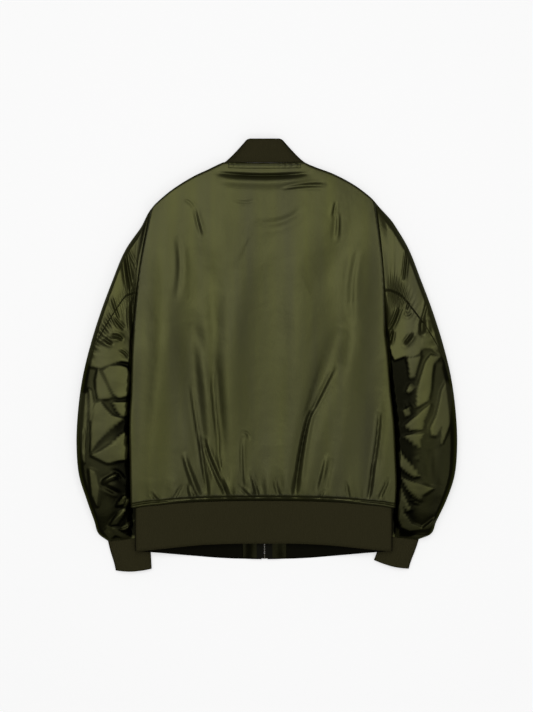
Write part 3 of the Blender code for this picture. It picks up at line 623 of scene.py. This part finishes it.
RIGHT_CREASES = table(
    CREASE_COLUMNS,
    (245, 188, 242, 158, 239, 130, 1.4, 1.6, 3.4, 0.2),
    (230, 82, 223, 62, 214, 45, 2.0, 2.2, 4.0, 0.3),
    (220, 42, 218, 32, 215, 20, 2.0, 2.2, 4.0, 0.0),
    (247, 90, 246, 86, 244, 81, 1.8, 1.8, 2.6, 0.0),
    (240, 76, 245, 70, 252, 74, 1.8, 1.8, 1.8, 0.0),
    (253, 37, 247, 28, 241, 21, 2.4, 2.4, 4.0, 0.3),
    (272, 64, 270, 50, 270, 36, 3.6, 4.4, 4.0, 0.4),
    (280, 104, 276, 80, 270, 62, 1.8, 2.2, 2.0, 0.2),
    (262, -98, 250, -92, 244, -80, 2.4, 2.6, -2.0, 0.2),
    (258, -168, 260, -174, 264, -180, 2.6, 2.4, -2.4, 0.2),
    (254, -246, 258, -252, 262, -256, 1.8, 1.8, -2.6, 0.0),
    (272, -300, 282, -292, 296, -280, 2.6, 2.6, -2.6, 0.2),
    (284, -160, 282, -190, 286, -226, 8.0, 8.0, 1.8, 0.0),
)
CUFFS = {
    "left": dict(
        side=-1,
        seam=((272, -322), (199, -314)),
        end=((259, -373), (196, -370)),
        panes=LEFT_PANES,
        creases=LEFT_CREASES,
    ),
    "right": dict(
        side=1,
        seam=((268, -319), (206, -313)),
        end=((251, -370), (190, -355)),
        panes=RIGHT_PANES,
        creases=RIGHT_CREASES,
    ),
}


def inside_panes(x, y, panes):
    """How far x and y lie inside one of these outlines, in millimetres, or less than 0 outside them."""
    best = np.full(np.shape(x), -1e3)
    for corners in panes:
        nearest, crossings = np.full(np.shape(x), 1e3), np.zeros(np.shape(x), bool)
        for (ax, ay), (bx, by) in zip(corners, corners[1:] + corners[:1]):
            share = ((x - ax) * (bx - ax) + (y - ay) * (by - ay)) / ((bx - ax) ** 2 + (by - ay) ** 2)
            share = np.clip(share, 0, 1)
            nearest = np.minimum(nearest, np.hypot(x - mix(ax, bx, share), y - mix(ay, by, share)))
            if ay != by:
                crossings ^= ((ay > y) != (by > y)) & (x < ax + (y - ay) * (bx - ax) / (by - ay))
        best = np.maximum(best, np.where(crossings, nearest, -nearest))
    return best


def sleeve_points(row, angle, cuff):
    """Points of the sleeve, at rows along it and angles round it from its outer edge over the top."""
    side = cuff["side"]
    (seam_out_x, seam_out_y), (seam_in_x, seam_in_y) = cuff["seam"]
    last = dict(row=12, out_x=seam_out_x, out_y=seam_out_y, in_y=seam_in_y)
    last.update(tuck=BODY["half"][0] - seam_in_x, crown=CUFF_SEAM_Z)
    rows = {column: np.append(values, last[column]) for column, values in SLEEVE.items()}
    value = {c: through(rows, "row", c, row) for c in ("out_x", "out_y", "in_y", "tuck", "crown")}
    inner = mix(value["crown"], TUCKED_Z, ease((row - 0.5) / 2.5))
    inner = np.where(row > 11, mix(TUCKED_Z, CUFF_SEAM_Z, ease(row - 11)), inner)
    in_x = through(BODY, "y", "half", value["in_y"]) - value["tuck"]
    low_from = mix(1, 1 - (value["tuck"] + 6) / (value["out_x"] - in_x), ease(row / 3))
    across, height = flat_ring(angle, value["crown"], inner, low_from, ease(row / 5))
    lean = through(BODY, "y", "lean", value["in_y"])
    out_lean = mix(BODY["lean"][-1], SLEEVE_LEAN, ease(row)) * (1 - ease((row - 9.5) / 2.5))
    out_x = side * value["out_x"] + out_lean
    out_y = value["out_y"] + side * SHOULDER_TILT * (1 - ease(row / 3))
    in_x = side * in_x + lean * (1 - ease((row - 10) / 2))
    bow = side * 3.5 * np.sin(math.pi * across) * (1 - ease(row / 1.5))
    x = mix(out_x, in_x, across) + bow
    y = mix(out_y, value["in_y"], across)
    tucked_in = 9 * ease(-np.sin(angle) / 0.4) * ease((across - 0.6) / 0.3) * ease(row / 0.5)
    x = x - side * tucked_in * (1 - ease((row - 3.5) / 1.5))
    on_top = ease(np.sin(angle) / 0.35) * ease(row / 0.6)
    reach = np.abs(x) - through(BODY, "y", "half", y) - side * through(BODY, "y", "lean", y)
    free = on_top * ease((12 - row) / 0.25) * np.where(row < 4, 1, ease((reach + 3) / 7))
    clear = mix(ease((1 - across) / 0.07), ease((reach - 0.3) / 3.5), ease((row - 1.5) / 2))
    flat_top = 0.92 * on_top * ease(across / 0.1) * clear
    height = mix(height, 0.95 * value["crown"], flat_top)
    inside = inside_panes(side * x, y, cuff["panes"])
    crumpled = ease((PANES_TOP_Y - y) / 6)
    height = height - PANE_DEPTH * free * crumpled * ease(-inside / 5)
    # Painted shade between the facets of the crumpled lower sleeve, a little weaker on its outer side, given
    # as the fourth column.
    shade = mix(0.74, 1.0, ease((272 - np.abs(x)) / 22))
    shade = on_top * ease((12 - row) / 0.25) * crumpled * shade
    pane_gap_shade = shade * ease(0.5 - inside / 2.8)
    folds = creased(side * x, y, cuff["creases"])
    folds = folds + 0.5 * crumple(x, y, 15, 41 + side) * ease((row - 2) / 4)
    gathered = np.exp(-(12 - row) * 2.6)
    folds = folds + 1.2 * gathers(across * 80, 51 + side, 15) * gathered
    seam = through(BACK_SEAM, "row", "angle", row)
    by_seam = np.exp(-(((angle - seam) / 0.22) ** 2))
    folds = folds - by_seam * (0.8 - 1.1 * gathers(row * 50, 61 + side, 13)) * ease(row / 0.5)
    armhole = 0.8 * gathers(across * 200, 71 + side, 12) * np.exp(-row / 0.22)
    height = height + folds * free + armhole * on_top
    return np.stack([x, y, np.maximum(height, 0), pane_gap_shade], axis=-1)


rows = [np.linspace(0, 0.6, 16), np.linspace(0.6, 11.3, 230)[1:], np.linspace(11.3, 12, 24)[1:]]
row, share = grid(np.concatenate(rows), np.linspace(0, 1, 84))
back_seam = through(BACK_SEAM, "row", "angle", row)
front_seam = through(FRONT_SEAM, "row", "angle", row)
for name, cuff in CUFFS.items():
    surface = partial(sleeve_points, cuff=cuff)
    spans = (
        ("upper", front_seam, back_seam, (0.17, 0.60), 0.062, f"sleeve_under_{name}"),
        ("under", back_seam, front_seam + 2 * math.pi, (0.18, 0.60), 0.075, "floor"),
    )
    for piece, start, end, flat, area, below in spans:
        angle = mix(start, end, share)
        made = cloth(f"sleeve_{piece}_{name}_cloth", surface, row, angle, cuff["side"], shade=(1.6, 2.4))
        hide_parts(f"sleeve_{piece}_{name}")

# --- neck binding --------------------------------------------------------------------------------
# A strip of the nylon folded over the neck seam, sewn down across the back and topstitched.

BINDING_HALF, BINDING_SEAM = 62.0, 0.35  # half its length, and how far up it is sewn down


def binding_points(up, across):
    """Points of the strip, which is the back's top edge made thicker: up from its lower fold."""
    points = back_points(mix(0.962, 0.9995, up), across)
    x = points[..., 0]
    full = np.sin(math.pi * np.clip(up * 0.92 + 0.06, 0, 1)) ** 0.5
    pucker = 0.35 * gathers(x, 91, 9) * np.exp(-(((up - BINDING_SEAM) / 0.22) ** 2))
    points[..., 2] += 0.5 + 1.0 * full + pucker
    # Painted shade along the sewn-down line, given as the fourth column.
    groove_shade = 0.8 * np.exp(-(((up - BINDING_SEAM) / 0.07) ** 2))
    return np.concatenate([points, groove_shade[..., None] + 0 * points[..., :1]], axis=-1)


ends = FLAT_SHARE * BINDING_HALF / (BODY["half"][-1] - TURN_SAGITTA)
v, u = grid(np.linspace(0, 1, 20), np.linspace(-ends, ends, 120))
binding = cloth("neck_binding_cloth", binding_points, v, u)
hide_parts("neck_binding")

# --- ribs ----------------------------------------------------------------------------------------
# Collar, hem and cuffs are rib knit, thicker than the nylon, with fine ribs running the short way.
# The hem's runs from one hem tab round the back to the other; each cuff is a tube.

RIB_PITCH, RIB_HEIGHT, RIB_WALL = 3.8, 0.8, 2.4
HEM_HALF, HEM_LEAN, HEM_TURN = 222.0, -1.5, 7.0
HEM_BACK, HEM_ROUND = 0.46, 0.1  # shares of the hem over the back and round the side
COLLAR_ROUND = 205.0  # half its length round the neck
COLLAR_TOP = table(
    "share base_x top_x top_y z",
    (0.00, 0, 0, 374, 26),
    (0.14, 28, 18, 374, 26),
    (0.26, 54, 27, 373.8, 24),
    (0.36, 71.4, 33, 372, 12),
    (0.46, 69.5, 37, 364, 2),
    (0.62, 60, 38, 336, 0),
    (0.80, 38, 30, 306, 0),
    (1.00, 8, 10, 290, 0),
)

rib_knit, shader, place = new_material("rib_knit", (0.024, 0.022, 0.011), 0.85)
shader.inputs["Specular IOR Level"].default_value = 0.12
shader.inputs["Specular Tint"].default_value = (0.8, 0.8, 0.5, 1)
fuzz = noise(place, 900, 2.0)
# Painted shade: the attribute darkens the knit's colour where it lies in shade, as on the hem's inside and
# the tabs.
painted_shade = place.node("ShaderNodeAttribute", attribute_name="painted_shade", output="Fac")
knitted = tinted(place, (0.036, 0.032, 0.014), (0.054, 0.049, 0.021), fuzz)
set_input(shader, "Base Color", tinted(place, knitted, (0.003, 0.003, 0.002), painted_shade))
bumped(shader, fuzz, 0.5, 0.0006)


def knit(length):
    """The height of the ribs at a length round the piece: rounded wales with narrow valleys."""
    return RIB_HEIGHT * (np.abs(np.cos(math.pi * length / RIB_PITCH)) ** 0.6 - 0.6)


def hem_section(turns):
    """The hem's line round the body: x, height, how far towards the front, and length along it."""
    share = np.abs(turns)
    over = np.clip(share / HEM_BACK, 0, 1)
    round_it = np.clip((share - HEM_BACK) / HEM_ROUND, 0, 1) * math.pi
    back_in = np.clip((share - HEM_BACK - HEM_ROUND) / (1 - HEM_BACK - HEM_ROUND), 0, 1)
    flat = HEM_HALF - HEM_TURN
    reach = flat * over + HEM_TURN * np.sin(round_it) - (flat - HEM_TAB - 0.3) * back_in
    high = through(HEM, "x", "back_z", reach)
    low = through(HEM, "x", "lift", reach)
    front = 0.5 * (1 - np.cos(round_it))
    length = flat * over + 9 * round_it + (flat - HEM_TAB) * back_in
    return np.sign(turns) * reach, np.maximum(mix(high, low, front), 0), front, length


def hem_points(down, turns):
    """Points of the hem, with painted shade on its inside."""
    x, z, front, length = hem_section(turns)
    reach = np.abs(x)
    edge = {c: through(HEM, "x", c, reach) for c in HEM if c.endswith(("seam", "edge"))}
    seam = mix(edge["back_seam"], edge["front_seam"], front)
    end = mix(edge["back_edge"], edge["front_edge"], front)
    out_of = 1 - 2 * front
    height = knit(length) * ease(down / 0.03) * ease((1.02 - down) / 0.03)
    wave = 0.7 * np.sin(x / 31.0 + 2.0 * down) + 0.5 * np.sin(x / 13.0 + 1.0)
    rolled = 0.9 * np.exp(-(((down - 0.02) / 0.03) ** 2))
    on_back = np.where(front < 0.5, 1.0, 0.0)
    z = z + (height + (wave * ease(down / 0.3) - rolled) * on_back) * out_of
    z = np.where(front > 0.5, np.maximum(z, np.maximum(-height, 0)), z)
    lean = HEM_LEAN * ease((reach - 30) / 120)
    # Painted shade on the fronts' part of the hem, which shows under the back's hem.
    inside = 0.95 * ease(front * 3)
    return np.stack([x + lean, mix(seam, end, down) - 0.4 * (1 - down), z, inside], axis=-1)


def even_turns(step):
    """Places round the hem about step apart."""
    turns = np.linspace(0, 1, 2000)
    length = hem_section(turns)[3]
    count = int(length[-1] / step)
    return np.interp(np.linspace(0, length[-1], count), length, turns)


turns = even_turns(RIB_PITCH / 4)
down = np.concatenate([np.linspace(0, 0.08, 5), np.linspace(0.08, 1, 12)[1:]])
v, u = grid(down, np.concatenate([-turns[:0:-1], turns]))
hem = cloth("hem_rib_knit", hem_points, v, u, -1, RIB_WALL, rib_knit)
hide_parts("hem_rib")


def collar_points(up, turns):
    """The collar: up from its seam to its edge, turns from one front end round the neck to the other."""
    share, side = np.abs(turns), np.sign(turns)
    value = {c: through(COLLAR_TOP, "share", c, share) for c in COLLAR_TOP}
    base_y = np.where(share > 0.36, front_neck(value["base_x"]), top_outline(value["base_x"]))
    x = mix(value["base_x"], value["top_x"], np.maximum(up, 0) ** 0.85)
    y = mix(base_y + 0.3, value["top_y"], up)
    behind = ease((value["z"] - 12) / 12)
    z = value["z"] + 4 * up * behind + (0.3 + 0.7 * behind) * knit(share * COLLAR_ROUND)
    z = z + behind * (1.2 * np.sin(math.pi * np.clip(up, 0, 1)) - 1.5 * ease((up - 0.85) / 0.15))
    return np.stack([side * x, y, np.maximum(z, 0)], axis=-1)


turns = np.linspace(-1, 1, 2 * int(COLLAR_ROUND / (RIB_PITCH / 4)) + 1)
v, u = grid(np.linspace(0, 1, 18), turns)
collar = cloth("collar_rib_knit", collar_points, v, u, 1, RIB_WALL, rib_knit)
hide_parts("collar_rib")


def cuff_points(down, angle, cuff):
    """Points of a cuff: down from its seam to its end, at angles round it as on the sleeve."""
    (seam_out, seam_in), (end_out, end_in) = cuff["seam"], cuff["end"]
    high = mix(CUFF_SEAM_Z, CUFF_END_Z, down)
    across, z = flat_ring(angle, high, high, flatness=1)
    x = mix(mix(seam_out[0], end_out[0], down), mix(seam_in[0], end_in[0], down), across)
    y = mix(mix(seam_out[1], end_out[1], down), mix(seam_in[1], end_in[1], down), across)
    y = y - 3.0 * down * np.sin(math.pi * across)
    x = x + 1.2 * np.sin(5 * down + 1) * (1 - across) * down
    width = math.hypot(seam_out[0] - seam_in[0], seam_out[1] - seam_in[1])
    ribs = knit(across * width) * ease(np.sin(angle) / 0.25) * ease(down / 0.06)
    dents = 1.4 * np.exp(-(((across - 0.35 - 0.3 * down) / 0.1) ** 2)) * ease(np.sin(angle) / 0.3)
    return np.stack([cuff["side"] * x, y, np.maximum(z + ribs - dents, 0)], axis=-1)


v, u = grid(np.linspace(0, 1, 16), np.linspace(0, 2 * math.pi, 241)[:-1])
for name, cuff in CUFFS.items():
    surface = partial(cuff_points, cuff=cuff)
    made = cloth(f"cuff_{name}_knit", surface, v, u, cuff["side"], RIB_WALL, rib_knit, tube=True)
    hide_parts("cuff_rib_" + name)

# --- hem tabs ------------------------------------------------------------------------------------
# Beside the zip the hem ends in plain nylon tabs, so that the zip is sewn to cloth and not to knit.


def tab_points(down, out, side):
    """Points of a tab, darkened all over by painted shade like the hem's inside."""
    reach = mix(ZIP_HALF, HEM_TAB + 0.8, out)
    y = mix(through(HEM, "x", "front_seam", reach), through(HEM, "x", "front_edge", reach), down)
    soft = 0.7 * ease(np.sin(math.pi * down) * 1.5) * np.sin(math.pi * out)
    z = np.maximum(zip_lift(reach) - soft, 0)
    # The fourth column paints shade over the whole tab.
    return np.stack([side * reach, y - 0.4 * (1 - down), z, 0.9 + 0 * z], axis=-1)


v, u = grid(np.linspace(0, 1, 30), np.linspace(0, 1, 20))
for name, side in (("left", -1), ("right", 1)):
    made = cloth("hem_tab_cloth_" + name, partial(tab_points, side=side), v, u, side, RIB_WALL)
    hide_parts("hem_tab_" + name)

# --- zip -----------------------------------------------------------------------------------------
# Woven tapes sewn behind the fronts' edges, a row of cast metal teeth on each, and a metal slider,
# pull tab and bottom box. The tab hangs from the slider's lug on its pin.

TEETH_X, TEETH_TOP_Y, TEETH_END_Y, TEETH_Z = 1.1, 230.0, -342.0, 7.05
TEETH_PITCH, TOOTH_SIZE = 2.6, (1.1, 3.2, 1.4)
WEAVE_ACROSS, WEAVE_ALONG = 5200, 4200  # radians a metre

# Dark metal: partly its own colour and partly painted shade for the teeth lying between the fronts; worn
# adds random patches.
metal, shader, place = new_material("zip_metal_dark", (0.12, 0.11, 0.08), 0.4, 1.0)
set_input(shader, "Roughness", 0.28 + 0.2 * noise(place, 160))
worn = noise(place, 420, 2.0)
set_input(shader, "Base Color", tinted(place, (0.05, 0.046, 0.034), (0.13, 0.12, 0.09), worn))
bumped(shader, worn, 0.15, 0.0003)

tape, shader, place = new_material("zip_tape_woven", (0.03, 0.03, 0.016), 0.85)
across_tape = place.node("ShaderNodeSeparateXYZ", {0: place})
along_tape = place.node("ShaderNodeSeparateXYZ", {0: place}, output=1)
weave = abs((across_tape * WEAVE_ACROSS).sine()) * abs((along_tape * WEAVE_ALONG).sine())
shader.inputs["Specular IOR Level"].default_value = 0.12
set_input(shader, "Base Color", tinted(place, (0.006, 0.006, 0.004), (0.016, 0.016, 0.009), weave))
bumped(shader, weave, 0.5, 0.0003)


def repeated(name, path, pitch, size, finish):
    """Small boxes along a path of points in millimetres, pitch apart, made one mesh."""
    mesh = bpy.data.meshes.new(name)
    mesh.from_pydata((np.asarray(path) * MM).tolist(), [(i, i + 1) for i in range(len(path) - 1)], [])
    tree = bpy.data.node_groups.new(name, "GeometryNodeTree")
    face = tree.interface
    face.new_socket("Geometry", in_out="INPUT", socket_type="NodeSocketGeometry")
    pitch_in = face.new_socket("Pitch", in_out="INPUT", socket_type="NodeSocketFloat")
    size_in = face.new_socket("Size", in_out="INPUT", socket_type="NodeSocketVector")
    face.new_socket("Geometry", in_out="OUTPUT", socket_type="NodeSocketGeometry")
    links = (
        ("NodeGroupInput", "Geometry", "GeometryNodeMeshToCurve", "Mesh"),
        ("GeometryNodeMeshToCurve", "Curve", "GeometryNodeResampleCurve", "Curve"),
        ("NodeGroupInput", "Pitch", "GeometryNodeResampleCurve", "Length"),
        ("NodeGroupInput", "Size", "GeometryNodeMeshCube", "Size"),
        ("GeometryNodeInputTangent", "Tangent", "FunctionNodeAlignRotationToVector", "Vector"),
        ("GeometryNodeResampleCurve", "Curve", "GeometryNodeInstanceOnPoints", "Points"),
        ("GeometryNodeMeshCube", "Mesh", "GeometryNodeInstanceOnPoints", "Instance"),
        ("FunctionNodeAlignRotationToVector", "Rotation", "GeometryNodeInstanceOnPoints", "Rotation"),
        ("GeometryNodeInstanceOnPoints", "Instances", "GeometryNodeRealizeInstances", "Geometry"),
        ("GeometryNodeRealizeInstances", "Geometry", "GeometryNodeSetMaterial", "Geometry"),
        ("GeometryNodeSetMaterial", "Geometry", "NodeGroupOutput", "Geometry"),
    )
    node = {kind: tree.nodes.new(kind) for kind in sorted({row[at] for row in links for at in (0, 2)})}
    node["GeometryNodeResampleCurve"].mode = "LENGTH"
    node["FunctionNodeAlignRotationToVector"].axis = "X"
    node["GeometryNodeSetMaterial"].inputs["Material"].default_value = finish
    for start, output, end, entry in links:
        tree.links.new(node[start].outputs[output], node[end].inputs[entry])
    made = placed(name, mesh)
    rows = made.modifiers.new("Rows", "NODES")
    rows.node_group = tree
    rows[pitch_in.identifier] = pitch * MM
    rows[size_in.identifier] = [side * MM for side in size]
    bpy.context.view_layer.update()
    made.data = bpy.data.meshes.new_from_object(made.evaluated_get(bpy.context.evaluated_depsgraph_get()))
    made.modifiers.clear()
    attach(made, "jacket")
    return made


def cover(name, finish):
    """Give a CAD piece that is kept as it is this material."""
    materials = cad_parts[name].data.materials
    materials.clear()
    materials.append(finish)


for name, side in (("left", -1), ("right", 1)):
    cover("zip_tape_" + name, tape)
    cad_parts["zip_tape_" + name]
    shift = TEETH_PITCH / 4 * side
    line = [(side * TEETH_X, y + shift, TEETH_Z) for y in (TEETH_TOP_Y, TEETH_END_Y)]
    teeth = repeated("zip_teeth_" + name, line, TEETH_PITCH, TOOTH_SIZE, metal)
for name in ("zip_slider", "zip_pull", "zip_box"):
    cover(name, metal)

# --- topstitching --------------------------------------------------------------------------------
# Olive thread: a row along the lower edge of the neck binding, one above the hem's bead, and one
# beside each armhole seam on the body.

STITCH_PITCH, STITCH_SIZE = 3.4, (2.4, 0.45, 0.35)
NECK_ROW, HEM_ROW, ARMHOLE_ROW = 0.33, 0.0195, 0.93  # up the binding, up the back, across it

thread, shader, place = new_material("thread", (0.05, 0.05, 0.022), 0.6)
bumped(shader, noise(place, 1500), 0.3, 0.0002)


def on_back(up, across):
    """Places just above the back panel."""
    return back_points(up, across) + [0, 0, 0.25]


u = np.linspace(-ends, ends, 200)
rows = {"stitches_neck": binding_points(NECK_ROW + 0 * u[None], u[None])[0][:, :3] + [0, 0, 0.15]}
u = np.linspace(-0.86, 0.86, 300)
rows["stitches_hem"] = on_back(HEM_ROW + 0 * u[None], u[None])[0]
v = np.linspace(0.6, 0.97, 160)
for name, side in (("left", -1), ("right", 1)):
    rows["stitches_armhole_" + name] = on_back(v[:, None], side * (ARMHOLE_ROW + 0 * v[:, None]))[:, 0]
for name, line in rows.items():
    repeated(name, line, STITCH_PITCH, STITCH_SIZE, thread)

# --- floor, light and camera ---------------------------------------------------------------------
# A plain white floor that throws no light back, a broad soft light overhead, a smaller key light
# beside it towards the collar, a weak fill opposite, and a camera straight above the jacket.

FRAME_HEIGHT = 1.2268  # of the view, at the jacket
MIDDLE_X, MIDDLE_Y, MIDDLE_Z = 0.0034, -0.001, 0.03  # of the view
LENS, SENSOR = 85.0, 36.0
FLOOR = 6.0  # metres from its middle to each edge

mesh = bpy.data.meshes.new("floor")
corners = [(-FLOOR, -FLOOR, 0), (FLOOR, -FLOOR, 0), (FLOOR, FLOOR, 0), (-FLOOR, FLOOR, 0)]
mesh.from_pydata(corners, [], [(0, 1, 2, 3)])
floor = placed("floor", mesh)
white, shader, _ = new_material("floor_white", (0.9, 0.9, 0.9), 0.9)
shader.inputs["Emission Color"].default_value = (1, 1, 1, 1)
shader.inputs["Emission Strength"].default_value = 0.55
mesh.materials.append(white)
floor.visible_diffuse = False
floor.visible_glossy = False


def add_light(name, place, energy, size):
    light = bpy.data.lights.new(name, "AREA")
    light.energy, light.size = energy, size
    lamp = placed(name, light)
    lamp.location = place
    lamp.rotation_euler = (-Vector(place)).to_track_quat("-Z", "Y").to_euler()


add_light("softbox", (-0.1, 0.3, 4.2), 50, 3.8)
add_light("key", (-0.45, 0.75, 4.0), 14, 1.5)
add_light("fill", (1.6, -1.2, 3.4), 6, 1.0)

world = bpy.data.worlds.new("studio")
world.use_nodes = True
background = world.node_tree.nodes["Background"]
background.inputs["Color"].default_value = (1, 1, 1, 1)
background.inputs["Strength"].default_value = 0.12
bpy.context.scene.world = world
bpy.context.scene.view_settings.view_transform = "Standard"

camera_data = bpy.data.cameras.new("camera")
camera_data.lens, camera_data.sensor_width = LENS, SENSOR
camera_data.clip_end = 20
camera = placed("camera", camera_data)
camera.location = (MIDDLE_X, MIDDLE_Y, MIDDLE_Z + FRAME_HEIGHT * LENS / SENSOR)
bpy.context.scene.camera = camera
